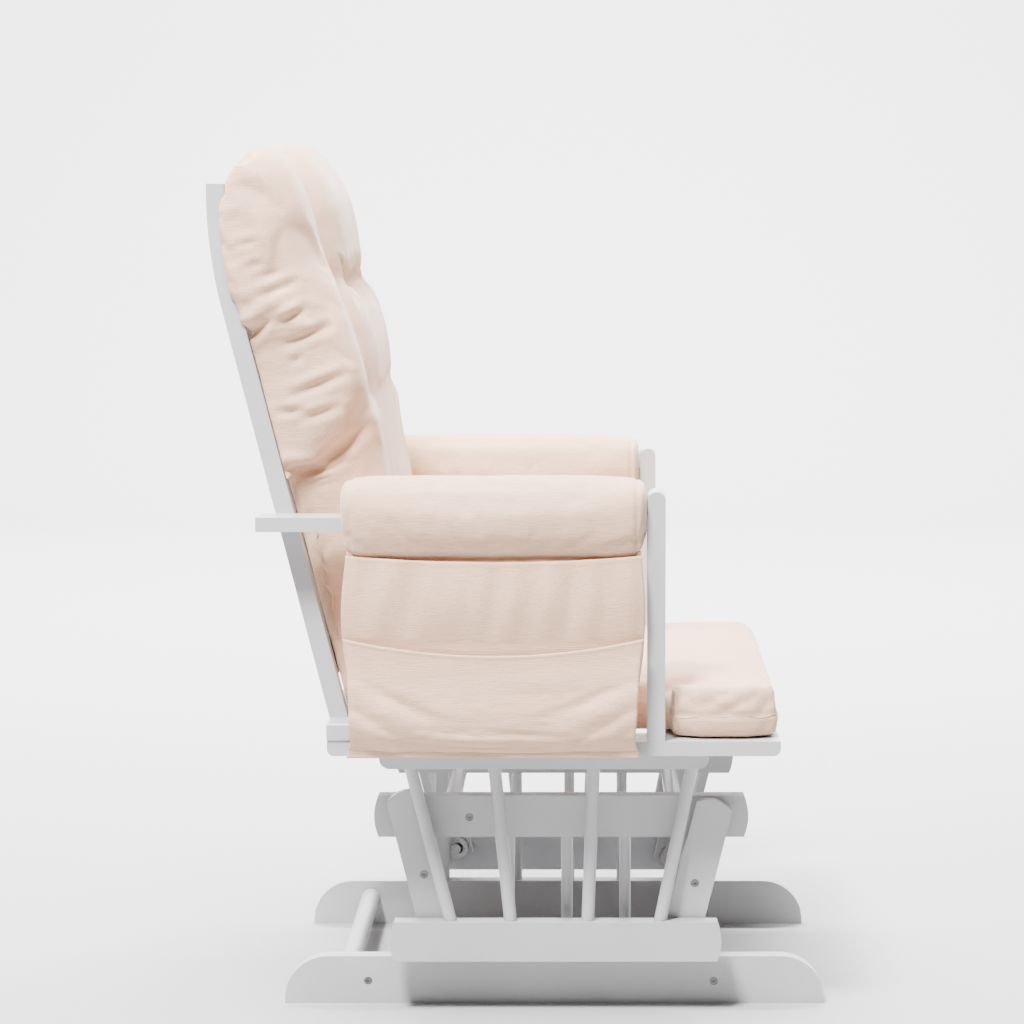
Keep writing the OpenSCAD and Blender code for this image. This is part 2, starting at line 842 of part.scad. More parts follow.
floor_rail(RIGHT);  // floor_rail_right
floor_rail(LEFT);  // floor_rail_left
rear_floor_dowel();
front_floor_dowel();
upper_rail(RIGHT);  // upper_rail_right
upper_rail(LEFT);  // upper_rail_left
rear_upper_dowel();
front_upper_dowel();
base_posts();
base_spindles(RIGHT);  // base_spindles_right
base_spindles(LEFT);  // base_spindles_left
floor_rail_bolts();
upper_rail_bolts();
upper_pivot_bolts();
upper_pivot_washers();
front_arm(RIGHT);  // front_arm_right
front_arm(LEFT);  // front_arm_left
front_cover(RIGHT);  // front_cover_right
front_cover(LEFT);  // front_cover_left
front_bearings();
front_cover_bolts();
rear_arm(RIGHT);  // rear_arm_right
rear_arm(LEFT);  // rear_arm_left
rear_cover(RIGHT);  // rear_cover_right
rear_cover(LEFT);  // rear_cover_left
rear_bearings();
rear_cover_bolts();
glide_rail(RIGHT);  // glide_rail_right
glide_rail(LEFT);  // glide_rail_left
seat_spindles(RIGHT);  // seat_spindles_right
seat_spindles(LEFT);  // seat_spindles_left
apron(RIGHT);  // apron_right
apron(LEFT);  // apron_left
side_rail(RIGHT);  // side_rail_right
side_rail(LEFT);  // side_rail_left
front_seat_rail();
rear_seat_rail();
seat_slats();
lower_pivot_bolts();
lower_pivot_washers();
stile(RIGHT);  // stile_right
stile(LEFT);  // stile_left
back_top_rail();
back_lower_rail();
back_slats();
front_post(RIGHT);  // front_post_right
front_post(LEFT);  // front_post_left
arm_board(RIGHT);  // arm_board_right
arm_board(LEFT);  // arm_board_left
arm_bolts();
seat_cushion();
back_cushion();
arm_pad(RIGHT);  // arm_pad_right
arm_pad(LEFT);  // arm_pad_left
side_panel(RIGHT);  // side_panel_right
side_panel(LEFT);  // side_panel_left
upper_pocket(RIGHT);  // upper_pocket_right
upper_pocket(LEFT);  // upper_pocket_left
lower_pocket(RIGHT);  // lower_pocket_right
lower_pocket(LEFT);  // lower_pocket_left
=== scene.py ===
"""Looks of a glider nursery chair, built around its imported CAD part.

Metres. +X is the way the sitter faces, +Y the sitter's left, +Z up.
"""

import json
import math

import bmesh
import bpy
from mathutils import Matrix, Vector, noise
from mathutils.bvhtree import BVHTree


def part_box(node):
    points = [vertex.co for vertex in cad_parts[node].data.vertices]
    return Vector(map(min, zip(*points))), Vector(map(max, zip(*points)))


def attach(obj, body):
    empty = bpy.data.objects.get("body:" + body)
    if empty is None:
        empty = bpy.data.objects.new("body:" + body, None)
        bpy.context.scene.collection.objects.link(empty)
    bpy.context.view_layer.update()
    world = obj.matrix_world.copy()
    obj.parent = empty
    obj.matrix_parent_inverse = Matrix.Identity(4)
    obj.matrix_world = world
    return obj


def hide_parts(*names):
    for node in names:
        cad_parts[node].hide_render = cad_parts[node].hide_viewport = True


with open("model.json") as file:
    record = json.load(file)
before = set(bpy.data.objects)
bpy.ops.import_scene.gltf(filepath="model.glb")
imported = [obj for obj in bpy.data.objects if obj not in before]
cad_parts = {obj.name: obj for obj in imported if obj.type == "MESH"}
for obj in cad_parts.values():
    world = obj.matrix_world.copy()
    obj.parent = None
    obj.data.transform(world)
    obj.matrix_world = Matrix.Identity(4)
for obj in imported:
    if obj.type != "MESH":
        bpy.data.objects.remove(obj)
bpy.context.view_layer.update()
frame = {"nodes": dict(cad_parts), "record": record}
NODES = frame["nodes"]
SLOT = {p["node"]: p["material_slot"] for p in frame["record"]["subparts"]}
BODY = {n: b for b, names in frame["record"]["behaviour"]["bodies"].items() for n in names}


# ---------------------------------------------------------------- materials
def new_material(name):
    """A material whose nodes are only a Principled shader and its output."""
    m = bpy.data.materials.new(name)
    m.use_nodes = True
    return m, m.node_tree, m.node_tree.nodes["Principled BSDF"]


def add(tree, kind, **values):
    """A shader node, with its properties and its named inputs set."""
    n = tree.nodes.new(kind)
    for key, value in values.items():
        if key in n.inputs:
            n.inputs[key].default_value = value
        else:
            setattr(n, key, value)
    return n


def stretched_noise(tree, scale, detail=3.0, rough=0.5):
    """Noise on the object's own coordinates, scaled apart along X, Y and Z."""
    at = add(tree, "ShaderNodeTexCoord")
    place = add(tree, "ShaderNodeMapping")
    place.inputs["Scale"].default_value = scale
    n = add(tree, "ShaderNodeTexNoise", Scale=1.0, Detail=detail, Roughness=rough)
    tree.links.new(at.outputs["Object"], place.inputs["Vector"])
    tree.links.new(place.outputs["Vector"], n.inputs["Vector"])
    return n.outputs["Fac"]


def ramp(tree, source, low, high, at=(0.35, 0.65)):
    """Two colours mixed by a value."""
    r = add(tree, "ShaderNodeValToRGB")
    r.color_ramp.elements[0].position, r.color_ramp.elements[1].position = at
    r.color_ramp.elements[0].color = (*low, 1)
    r.color_ramp.elements[1].color = (*high, 1)
    tree.links.new(source, r.inputs["Fac"])
    return r.outputs["Color"]


def mixed(tree, first, second):
    """Two colours multiplied."""
    m = add(tree, "ShaderNodeMix", data_type="RGBA", blend_type="MULTIPLY")
    m.inputs["Factor"].default_value = 1.0
    tree.links.new(first, m.inputs["A"])
    tree.links.new(second, m.inputs["B"])
    return m.outputs["Result"]


def bumped(tree, shader, sources):
    """Bumps from (value, height in metres) pairs, one on top of another."""
    last = None
    for value, height in sources:
        b = add(tree, "ShaderNodeBump", Strength=1.0, Distance=height)
        tree.links.new(value, b.inputs["Height"])
        if last:
            tree.links.new(last, b.inputs["Normal"])
        last = b.outputs["Normal"]
    tree.links.new(last, shader.inputs["Normal"])


def lacquer():
    """White satin lacquer over wood: almost even, with a faint brushed ripple."""
    m, t, s = new_material("white_lacquer")
    tone = ramp(t, stretched_noise(t, (9, 9, 9), 2), (0.42, 0.42, 0.435), (0.455, 0.455, 0.47))
    t.links.new(tone, s.inputs["Base Color"])
    s.inputs["Roughness"].default_value = 0.36
    s.inputs["Coat Weight"].default_value = 0.25
    s.inputs["Coat Roughness"].default_value = 0.22
    bumped(t, s, [(stretched_noise(t, (60, 260, 260), 3), 0.00012)])
    return m


def linen(name, light, dark):
    """Linen-like cloth: fine slubs along X over a faint uneven tone."""
    m, t, s = new_material(name)
    slub = stretched_noise(t, (55, 900, 900), 3, 0.6)
    thread = stretched_noise(t, (1500, 520, 520), 2, 0.5)
    cloud = stretched_noise(t, (14, 14, 14), 3)
    base = ramp(t, slub, dark, light, (0.30, 0.66))
    fine = ramp(t, thread, (0.93, 0.925, 0.92), (1, 1, 1))
    soft = ramp(t, cloud, (0.955, 0.95, 0.945), (1, 1, 1))
    t.links.new(mixed(t, mixed(t, base, fine), soft), s.inputs["Base Color"])
    s.inputs["Roughness"].default_value = 0.88
    s.inputs["Specular IOR Level"].default_value = 0.25
    s.inputs["Sheen Weight"].default_value = 0.35
    s.inputs["Sheen Roughness"].default_value = 0.45
    bumped(t, s, [(slub, 0.00050), (thread, 0.00025), (cloud, 0.0006)])
    return m


def metal(name, colour, roughness, metallic=1.0):
    """Coated or plated steel with a faint unevenness."""
    m, t, s = new_material(name)
    tone = stretched_noise(t, (300, 300, 300), 2)
    t.links.new(ramp(t, tone, [c * 0.86 for c in colour], colour), s.inputs["Base Color"])
    s.inputs["Metallic"].default_value = metallic
    s.inputs["Roughness"].default_value = roughness
    bumped(t, s, [(stretched_noise(t, (900, 900, 900), 2), 0.00003)])
    return m


WOOD = lacquer()
CLOTH = linen("beige_linen", (0.75, 0.492, 0.345), (0.62, 0.388, 0.262))
SEAM = linen("beige_linen_seam", (0.68, 0.48, 0.34), (0.58, 0.39, 0.27))
MATERIAL = {
    "white_wood": WOOD,
    "linen_cloth": CLOTH,
    "dark_steel": metal("dark_steel", (0.20, 0.20, 0.21), 0.42),
    "bright_steel": metal("bright_steel", (0.60, 0.60, 0.61), 0.45, 0.8),
}


def dress(obj, material):
    """Gives the object this material only."""
    obj.data.materials.clear()
    obj.data.materials.append(material)


# ---------------------------------------------------------------- hard parts
def softened(node, width):
    """The node again with its sharp edges eased, as lacquered wood has them."""
    source = NODES[node]
    piece = source.copy()
    piece.data = source.data.copy()
    piece.name = "eased_" + node
    bpy.context.scene.collection.objects.link(piece)
    b = bmesh.new()
    b.from_mesh(piece.data)
    bmesh.ops.remove_doubles(b, verts=b.verts, dist=1e-6)
    bmesh.ops.dissolve_limit(b, angle_limit=math.radians(0.6), verts=b.verts, edges=b.edges)
    b.to_mesh(piece.data)
    b.free()
    if piece.data.has_custom_normals:
        with bpy.context.temp_override(object=piece, active_object=piece):
            bpy.ops.mesh.customdata_custom_splitnormals_clear()
    piece.data.shade_smooth()
    bevel = piece.modifiers.new("ease", "BEVEL")
    bevel.width = width
    bevel.segments = 3
    bevel.limit_method = "ANGLE"
    bevel.angle_limit = math.radians(40)
    bevel.harden_normals = True
    bevel.use_clamp_overlap = True
    piece.modifiers.new("weigh", "WEIGHTED_NORMAL").keep_sharp = True
    dress(piece, MATERIAL[SLOT[node]])
    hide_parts(node)
    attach(piece, BODY[node])
    return piece


for name, slot_name in SLOT.items():
    if slot_name == "white_wood":
        softened(name, 0.0012 if "dowel" in name or "spindle" in name else 0.0022)
    elif slot_name != "linen_cloth":
        dress(NODES[name], MATERIAL[slot_name])


# ---------------------------------------------------------------- soft parts
def link(obj):
    bpy.context.scene.collection.objects.link(obj)
    return obj


def object_from(name, verts, faces):
    """A mesh object in the scene from points and faces."""
    me = bpy.data.meshes.new(name)
    me.from_pydata([tuple(v) for v in verts], [], faces)
    me.update()
    return link(bpy.data.objects.new(name, me))


def applied(obj):
    """The object with its modifiers made real."""
    dg = bpy.context.evaluated_depsgraph_get()
    me = bpy.data.meshes.new_from_object(obj.evaluated_get(dg), depsgraph=dg)
    obj.modifiers.clear()
    old, obj.data = obj.data, me
    bpy.data.meshes.remove(old)
    return obj


def smooth_loop(points, count):
    """A closed smooth line through the points, in even steps."""
    n, out = len(points), []
    for i in range(n):
        p = [Vector(points[(i + k) % n]) for k in (-1, 0, 1, 2)]
        for k in range(12):
            t = k / 12
            out.append(0.5 * ((2 * p[1]) + (p[2] - p[0]) * t + (2 * p[0] - 5 * p[1] + 4 * p[2] - p[3]) * t * t
                              + (3 * p[1] - p[0] - 3 * p[2] + p[3]) * t ** 3))
    steps = [(out[(i + 1) % len(out)] - out[i]).length for i in range(len(out))]
    total, even, at, i = sum(steps), [], 0.0, 0
    for k in range(count):
        want = total * k / count
        while at + steps[i] < want:
            at += steps[i]
            i += 1
        even.append(out[i].lerp(out[(i + 1) % len(out)], (want - at) / max(steps[i], 1e-9)))
    return even


def pillow(outline, y0, y1, inset, depth, place=None, count=120, hold_rear=None):
    """A closed form with an outline in X and Z, from y0 to y1. Its two ends are rounded:
    they draw in by inset over depth. hold_rear(x, z) from 0 to 1 says how much of the inset is kept."""
    loop = smooth_loop([Vector((x, z)) for x, z in outline], count)
    n = len(loop)
    turn = sum(loop[i].x * loop[(i + 1) % n].y - loop[(i + 1) % n].x * loop[i].y for i in range(n))
    inward = []
    for i in range(n):
        t = loop[(i + 2) % n] - loop[i - 2]
        normal = Vector((-t.y, t.x)).normalized() * (1 if turn > 0 else -1)
        inward.append(normal * (hold_rear(*loop[i]) if hold_rear else 1.0))
    rings, steps = [], 7
    for end in (0, 1):
        for k in range(steps + 1):
            a = math.pi / 2 * (k if end == 0 else steps - k) / steps
            draw, off = inset * (1 - math.sin(a)), depth * (1 - math.cos(a))
            y = y0 + off if end == 0 else y1 - off
            rings.append([(loop[i].x + inward[i].x * draw, y, loop[i].y + inward[i].y * draw) for i in range(n)])
    verts = [v for r in rings for v in r]
    faces = []
    for k in range(len(rings) - 1):
        for i in range(n):
            j = (i + 1) % n
            faces.append([k * n + i, (k + 1) * n + i, (k + 1) * n + j, k * n + j])
    faces.append(list(range(n)))
    faces.append(list(range((len(rings) - 1) * n, len(rings) * n))[::-1])
    obj = object_from("form", verts, faces)
    b = bmesh.new()
    b.from_mesh(obj.data)
    bmesh.ops.recalc_face_normals(b, faces=b.faces)
    b.to_mesh(obj.data)
    b.free()
    if place:
        obj.data.transform(place)
    return obj


def merged(name, parts, voxel, relax=4):
    """Closed forms joined into one skin of even faces."""
    b = bmesh.new()
    for p in parts:
        b.from_mesh(p.data)
        bpy.data.objects.remove(p)
    me = bpy.data.meshes.new(name)
    b.to_mesh(me)
    b.free()
    obj = link(bpy.data.objects.new(name, me))
    m = obj.modifiers.new("even", "REMESH")
    m.mode, m.voxel_size = "VOXEL", voxel
    applied(obj)
    relaxed(obj, relax)
    return obj


def relaxed(obj, times):
    """The object with its skin smoothed this many times."""
    m = obj.modifiers.new("relax", "SMOOTH")
    m.iterations, m.factor = times, 0.5
    return applied(obj)


def filled(obj, pressure, cap, held=None, spare=0.02, frames=18):
    """Cloth blown up from inside: held(point) from 0 to 1 says where seams hold it down,
    spare is how much wider the cloth is than its form, and cap the furthest it may move."""
    rest = [v.co.copy() for v in obj.data.vertices]
    m = obj.modifiers.new("cloth", "CLOTH")
    s = m.settings
    s.quality, s.mass = 6, 0.25
    s.tension_stiffness = s.compression_stiffness = 12
    s.shear_stiffness, s.bending_stiffness = 4, 0.15
    s.use_pressure, s.uniform_pressure_force = True, pressure
    s.shrink_min = -spare
    s.effector_weights.gravity = 0
    m.collision_settings.use_collision = False
    if held:
        g = obj.vertex_groups.new(name="held")
        for i, co in enumerate(rest):
            w = held(co)
            if w > 0:
                g.add([i], w, "REPLACE")
        s.vertex_group_mass = "held"
    scene = bpy.context.scene
    m.point_cache.frame_start, m.point_cache.frame_end = 1, frames
    for f in range(1, frames + 1):
        scene.frame_set(f)
    me = obj.evaluated_get(bpy.context.evaluated_depsgraph_get()).to_mesh()
    moved = [v.co.copy() for v in me.vertices]
    obj.modifiers.clear()
    scene.frame_set(1)
    for v, a, b in zip(obj.data.vertices, rest, moved):
        d = b - a
        v.co = a + d * (cap / d.length if d.length > cap else 1)
    obj.vertex_groups.clear()
    obj.data.update()
    return obj


def finer(obj):
    """The object with its faces split once by subdivision."""
    m = obj.modifiers.new("finer", "SUBSURF")
    m.levels = m.render_levels = 1
    applied(obj)
    obj.data.shade_smooth()
    return obj


def bump01(t):
    """1 at 0, falling smoothly to 0 at 1 and beyond."""
    t = min(abs(t), 1.0)
    return (1 - t * t) ** 2


def ready(obj, body, replaced):
    dress(obj, CLOTH)
    obj.data.shade_smooth()
    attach(obj, body)
    if replaced:
        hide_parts(*replaced)
    return obj


def stitched(name, lines, target, body, radius=0.0007, lift=0.0):
    """Thin sewn ridges that follow a surface through the given points."""
    tree = BVHTree.FromPolygons(
        [v.co for v in target.data.vertices], [tuple(p.vertices) for p in target.data.polygons]
    )
    curve = bpy.data.curves.new(name, "CURVE")
    curve.dimensions, curve.bevel_depth, curve.bevel_resolution = "3D", radius, 1
    for points, closed in lines:
        on = []
        for p in points:
            at, normal, _, _ = tree.find_nearest(Vector(p))
            on.append(at + normal * lift)
        sp = curve.splines.new("POLY")
        sp.points.add(len(on) - 1)
        for q, at in zip(sp.points, on):
            q.co = (*at, 1)
        sp.use_cyclic_u = closed
    made = bpy.data.objects.new(name, curve)
    link(made)
    me = bpy.data.meshes.new_from_object(made)
    bpy.data.objects.remove(made)
    obj = link(bpy.data.objects.new(name, me))
    obj.data.shade_smooth()
    dress(obj, SEAM)
    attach(obj, body)
    return obj


# ---- the back's own plane, which stands on the rear seat rail
BACK_SLOPE = math.radians(14.2)
STILE_CURVE_R = 0.530
STILE_STRAIGHT = 0.472
STILE_THICK = 0.020


def back_plane():
    """Matrix from the back's plane (X across its thickness, Z up it) to the chair's."""
    lo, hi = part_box("rear_seat_rail")
    return Matrix.Translation((lo.x, 0, hi.z)) @ Matrix.Rotation(-BACK_SLOPE, 4, "Y")


BACK = back_plane()


def arc_front(s):
    """Front face of the stiles' curve, in the back's plane."""
    r, start, thick = STILE_CURVE_R, STILE_STRAIGHT, STILE_THICK
    return thick if s < start else r - math.sqrt(max((r - thick) ** 2 - (s - start) ** 2, 0.01))


# front outlines of the back cushion in the back's plane: (how far up, how far forward)
CENTRE_FRONT = [(-0.022, 0.104), (0.05, 0.110), (0.15, 0.118), (0.270, 0.127), (0.316, 0.130), (0.348, 0.135),
                (0.379, 0.140), (0.424, 0.140), (0.452, 0.136), (0.469, 0.128), (0.485, 0.134), (0.503, 0.136),
                (0.530, 0.138), (0.557, 0.138), (0.585, 0.133), (0.612, 0.123), (0.634, 0.108), (0.644, 0.090)]
WING_FRONT = [(0.274, 0.054), (0.288, 0.088), (0.306, 0.112), (0.330, 0.123), (0.364, 0.128), (0.417, 0.127),
              (0.465, 0.121), (0.508, 0.116), (0.554, 0.115), (0.590, 0.110), (0.616, 0.101), (0.634, 0.088),
              (0.640, 0.074)]


def rear_line(top, low, count):
    """The back's own line just ahead of the stiles, from the top down."""
    heights = [top + (low - top) * k / (count - 1) for k in range(count)]
    return [(arc_front(at) + 0.001, at) for at in heights]


def lump(co, at, size, how):
    """A soft push inside a stretched ball, for gathers and dimples."""
    d = co - Vector(at)
    q = (d.x / size[0]) ** 2 + (d.y / size[1]) ** 2 + (d.z / size[2]) ** 2
    return how * math.exp(-q * 2.2)


def crease(co, a, b, width, depth, swell=0.9):
    """A pinched line from a to b, with a swelling above it and a lesser one below, as a push."""
    a, b = Vector(a), Vector(b)
    d = b - a
    t = max(0.0, min(1.0, (co - a).dot(d) / d.length_squared))
    off = co - (a + d * t)
    r = off.length / width
    fade = math.sin(math.pi * (0.08 + 0.84 * t)) ** 0.8
    rise = swell if off.z > 0 else 0.45 * swell
    return fade * depth * (-math.exp(-r * r * 3.2) + rise * math.exp(-((r - 1.5) ** 2) * 1.6))


# short gathers on the outer faces of the side bolsters, in the back's plane: ends, width, depth
GATHERS = [((0.046, 0.476), (0.086, 0.481), 0.0065, 0.0030), ((0.056, 0.441), (0.090, 0.449), 0.0065, 0.0034),
           ((0.012, 0.434), (0.054, 0.449), 0.0090, 0.0060), ((0.057, 0.417), (0.108, 0.424), 0.0065, 0.0034),
           ((0.060, 0.396), (0.070, 0.398), 0.0060, 0.0022), ((0.052, 0.360), (0.112, 0.368), 0.0070, 0.0034),
           ((0.032, 0.345), (0.057, 0.341), 0.0060, 0.0024), ((0.056, 0.331), (0.096, 0.335), 0.0065, 0.0028),
           ((0.044, 0.511), (0.056, 0.510), 0.0055, 0.0014), ((0.044, 0.536), (0.056, 0.535), 0.0055, 0.0014),
           ((0.020, 0.281), (0.058, 0.272), 0.0090, 0.0050), ((0.058, 0.272), (0.120, 0.304), 0.0080, 0.0040),
           ((0.046, 0.252), (0.068, 0.253), 0.0055, 0.0030), ((0.062, 0.268), (0.090, 0.274), 0.0055, 0.0024)]


DEEP_CHANNEL = 0.468  # heights of the sewn cross channels up the back
SHALLOW_CHANNEL = 0.338


def back_cushion():
    """The back cushion: a centre, two side bolsters and a headrest in one skin."""
    def rear_kept(x, z):
        return 0.05 if x < arc_front(z) + 0.012 else 1.0

    centre = [(n, at) for at, n in CENTRE_FRONT] + [(0.070, 0.640), (0.050, 0.624)]
    centre += rear_line(0.604, 0.004, 12) + [(0.050, -0.008), (0.090, -0.020)]
    wing = [(n, at) for at, n in WING_FRONT] + [(0.060, 0.634), (0.047, 0.622)]
    wing += [(0.038, 0.606)] + rear_line(0.585, 0.268, 9)
    low = [(n - 0.003, at) for at, n in CENTRE_FRONT if at < 0.317] + [(0.115, 0.335), (0.06, 0.340)]
    low += rear_line(0.325, 0.004, 8) + [(0.050, -0.008), (0.090, -0.020)]
    core = [(0.095, 0.0), (0.112, 0.30), (0.114, 0.44), (0.108, 0.56), (0.085, 0.608), (0.050, 0.604)]
    core += rear_line(0.575, 0.02, 8)
    parts = [pillow(centre, -0.170, 0.170, 0.034, 0.055, hold_rear=rear_kept),
             pillow(low, -0.240, 0.240, 0.030, 0.034, hold_rear=rear_kept),
             pillow(core, -0.215, 0.215, 0.012, 0.02)]
    for side in (-1, 1):
        y = sorted((side * 0.142, side * 0.267))
        parts.append(pillow(wing, y[0], y[1], 0.036, 0.056, hold_rear=rear_kept))
    obj = merged("back_cushion_soft", parts, 0.0052, 9)

    def held(co):
        channel = bump01((co.z - DEEP_CHANNEL) / 0.005) * (co.x > 0.09) * (abs(co.y) < 0.13)
        rear = 1.0 if co.x < arc_front(co.z) + 0.004 else 0.0
        return min(1.0, max(0.8 * channel, rear))

    filled(obj, 3.5, 0.0045, held, 0.018)
    finer(obj)
    me = obj.data
    normals = [v.normal.copy() for v in me.vertices]
    for v, normal in zip(me.vertices, normals):
        co = v.co
        push = 0.0
        if abs(co.y) > 0.250 and co.z < 0.45:
            held_in = 0.250 + 0.0145 * math.tanh((abs(co.y) - 0.250) / 0.0145)
            share = min(1.0, (0.45 - co.z) / 0.03)
            co.y = math.copysign(abs(co.y) + share * (held_in - abs(co.y)), co.y)
        if abs(co.y) > 0.185:
            flat = Vector((co.x, 0, co.z))
            for k, (a, b, width, depth) in enumerate(GATHERS):
                slip = 0.0 if co.y < 0 else 0.011 * math.sin(3.1 * k)
                push += crease(flat, (a[0], 0, a[1] + slip), (b[0], 0, b[1] + slip), width, depth)
            push *= min(1.0, (abs(co.y) - 0.185) / 0.03)
        if co.x > 0.09 and abs(co.y) < 0.15:
            across = 1 - bump01((abs(co.y) - 0.15) / 0.03)
            push -= across * 0.0050 * bump01((co.z - DEEP_CHANNEL - 0.003 * math.sin(co.y * 31)) / 0.013)
            push -= across * 0.0022 * bump01((co.z - SHALLOW_CHANNEL - 0.003 * math.sin(co.y * 27)) / 0.014)
            for k in range(-3, 4):
                for lean in (-1, 1):
                    a = (0.135, 0.044 * k, DEEP_CHANNEL)
                    b = (0.135, 0.044 * k + 0.009 * lean, DEEP_CHANNEL + 0.028 * lean)
                    push += crease(Vector((0.135, co.y, co.z)), a, b, 0.006, 0.0016, 0.2)
        push += 0.0022 * noise.noise(co * 13) + 0.0007 * noise.noise(co * 41)
        v.co = co + normal * push
    for v in me.vertices:
        out = abs(v.co.y)
        front = arc_front(v.co.z) + 0.0008
        if 0.436 < v.co.z < 0.625 and out > 0.225:
            near = bump01(max(0.0, v.co.x - front) / 0.032)
            near *= min(1.0, (v.co.z - 0.436) / 0.05) * min(1.0, (out - 0.225) / 0.03)
            near *= min(1.0, max(0.0, 0.618 - v.co.z) / 0.04)
            out += 0.008 * near
            v.co.y = math.copysign(out, v.co.y)
            v.co.x -= 0.011 * near
        elif out > 0.225:
            v.co.x -= 0.003 * bump01(max(0.0, v.co.x - front) / 0.02)
        v.co.x = max(v.co.x, front - (0.0075 if out > 0.2680 and v.co.z > 0.436 else 0.0))
        if v.co.z < 0.432 and out > 0.2660:
            v.co.y = math.copysign(0.2660, v.co.y)
        if v.co.z < 0.262 and out > 0.2425:
            v.co.y = math.copysign(0.2425, v.co.y)
    me.transform(BACK)
    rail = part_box("rear_seat_rail")[1]
    for v in me.vertices:
        if v.co.z < rail.z + 0.001 and v.co.x < rail.x + 0.001:
            v.co.z = rail.z + 0.001
    me.update()
    ready(obj, BODY["back_cushion"], ["back_cushion"])
    lines = []
    for side in (-1, 1):
        y = side * 0.30
        path = [(-0.247, y, 0.545), (-0.240, y, 0.510), (-0.229, y, 0.471), (-0.215, y, 0.425), (-0.199, y, 0.395)]
        fine = [Vector(path[i]).lerp(Vector(path[i + 1]), k / 10) for i in range(4) for k in range(10)]
        lines.append((fine, False))
    stitched("back_cushion_seam", lines, obj, BODY["back_cushion"], 0.0016, 0.0004)
    return obj


def seat_cushion():
    """The seat cushion: a slab between the posts and a wider one ahead of them, in one skin."""
    lo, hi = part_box("seat_cushion")
    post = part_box("front_post_right")[1].x
    half, wide = 0.249, hi.y - 0.004
    low, high = lo.z + 0.0005, hi.z - 0.005
    turn = Matrix(((1, 0, 0, 0), (0, 0, 1, 0), (0, 1, 0, 0), (0, 0, 0, 1)))

    def plan(x0, x1, y, c):
        return [(x0, 0), (x0, -y + c), (x0 + c * 0.3, -y + c * 0.3), (x0 + c, -y), ((x0 + x1) / 2, -y),
                (x1 - c, -y), (x1 - c * 0.3, -y + c * 0.3), (x1, -y + c), (x1 + 0.002, 0), (x1, y - c),
                (x1 - c * 0.3, y - c * 0.3), (x1 - c, y), ((x0 + x1) / 2, y), (x0 + c, y),
                (x0 + c * 0.3, y - c * 0.3), (x0, y - c)]

    def slab(x0, x1, y, z0, z1, c, inset, depth):
        return pillow(plan(x0, x1, y, c), z0, z1, inset, depth, turn, 160)

    parts = [slab(lo.x + 0.004, hi.x - 0.004, half, low, high - 0.003, 0.030, 0.012, 0.016),
             slab(post + 0.005, hi.x - 0.004, wide, low, high - 0.001, 0.034, 0.010, 0.012)]
    obj = merged("seat_cushion_soft", parts, 0.0055)
    seam = lo.z + 0.027

    def held(co):
        side = bump01((co.z - seam) / 0.004)
        rear = 1.0 if co.x < lo.x + 0.02 else 0.0
        return min(1.0, max(0.75 * side, rear, 1.0 if co.z < low + 0.003 else 0.0))

    filled(obj, 3.5, 0.004, held, 0.006)
    finer(obj)
    me = obj.data
    normals = [v.normal.copy() for v in me.vertices]
    for v, normal in zip(me.vertices, normals):
        co, push = v.co, 0.0
        edge = abs(co.y) > wide - 0.02 or co.x > hi.x - 0.02
        if edge and co.z > low + 0.004:
            push -= 0.0016 * bump01((co.z - seam) / 0.005)
        if abs(co.y) > wide - 0.03:
            for x, z, lean, size in ((0.205, 0.361, 0.024, 0.0007), (0.232, 0.357, 0.018, 0.0010),
                                     (0.250, 0.364, 0.018, 0.0008), (0.274, 0.359, 0.010, 0.0007)):
                flat = Vector((co.x, 0, co.z))
                push += crease(flat, (x - lean, 0, z - 0.010), (x + lean, 0, z + 0.008), 0.007, size)
        push += lump(co, (post + 0.004, math.copysign(0.250, co.y), hi.z - 0.004), (0.045, 0.022, 0.030), -0.012)
        push += 0.0022 * noise.noise(co * 9) + 0.0005 * noise.noise(co * 34)
        v.co = co + normal * (push if co.z > low + 0.004 else 0.0)
        if co.z > seam:
            v.co.z -= 0.010 * min(1.0, max(0.0, (co.y - 0.20) / 0.09)) * min(1.0, (co.z - seam) / 0.03)
    for v in me.vertices:
        v.co.z = max(v.co.z, lo.z)
        if v.co.x < post + 0.014 and abs(v.co.y) > 0.255:
            v.co.x = max(v.co.x, post + 0.0015)
        if v.co.x < post + 0.001:
            v.co.y = max(-0.2535, min(0.2535, v.co.y))
    me.update()
    ready(obj, BODY["seat_cushion"], ["seat_cushion"])
    around = []
    for k in range(220):
        t = 2 * math.pi * k / 220
        c, s_ = math.cos(t), math.sin(t)
        e = 2 / 9.0
        x = (post + hi.x) / 2 + (hi.x - post) / 2 * math.copysign(abs(c) ** e, c)
        around.append((x, (wide + 0.004) * math.copysign(abs(s_) ** e, s_), seam))
    front = [p for p in around if p[0] > post + 0.012]
    stitched("seat_cushion_seam", [(front[: len(front) // 2], False), (front[len(front) // 2:], False)],
             obj, BODY["seat_cushion"], 0.0007, 0.0001)
    return obj


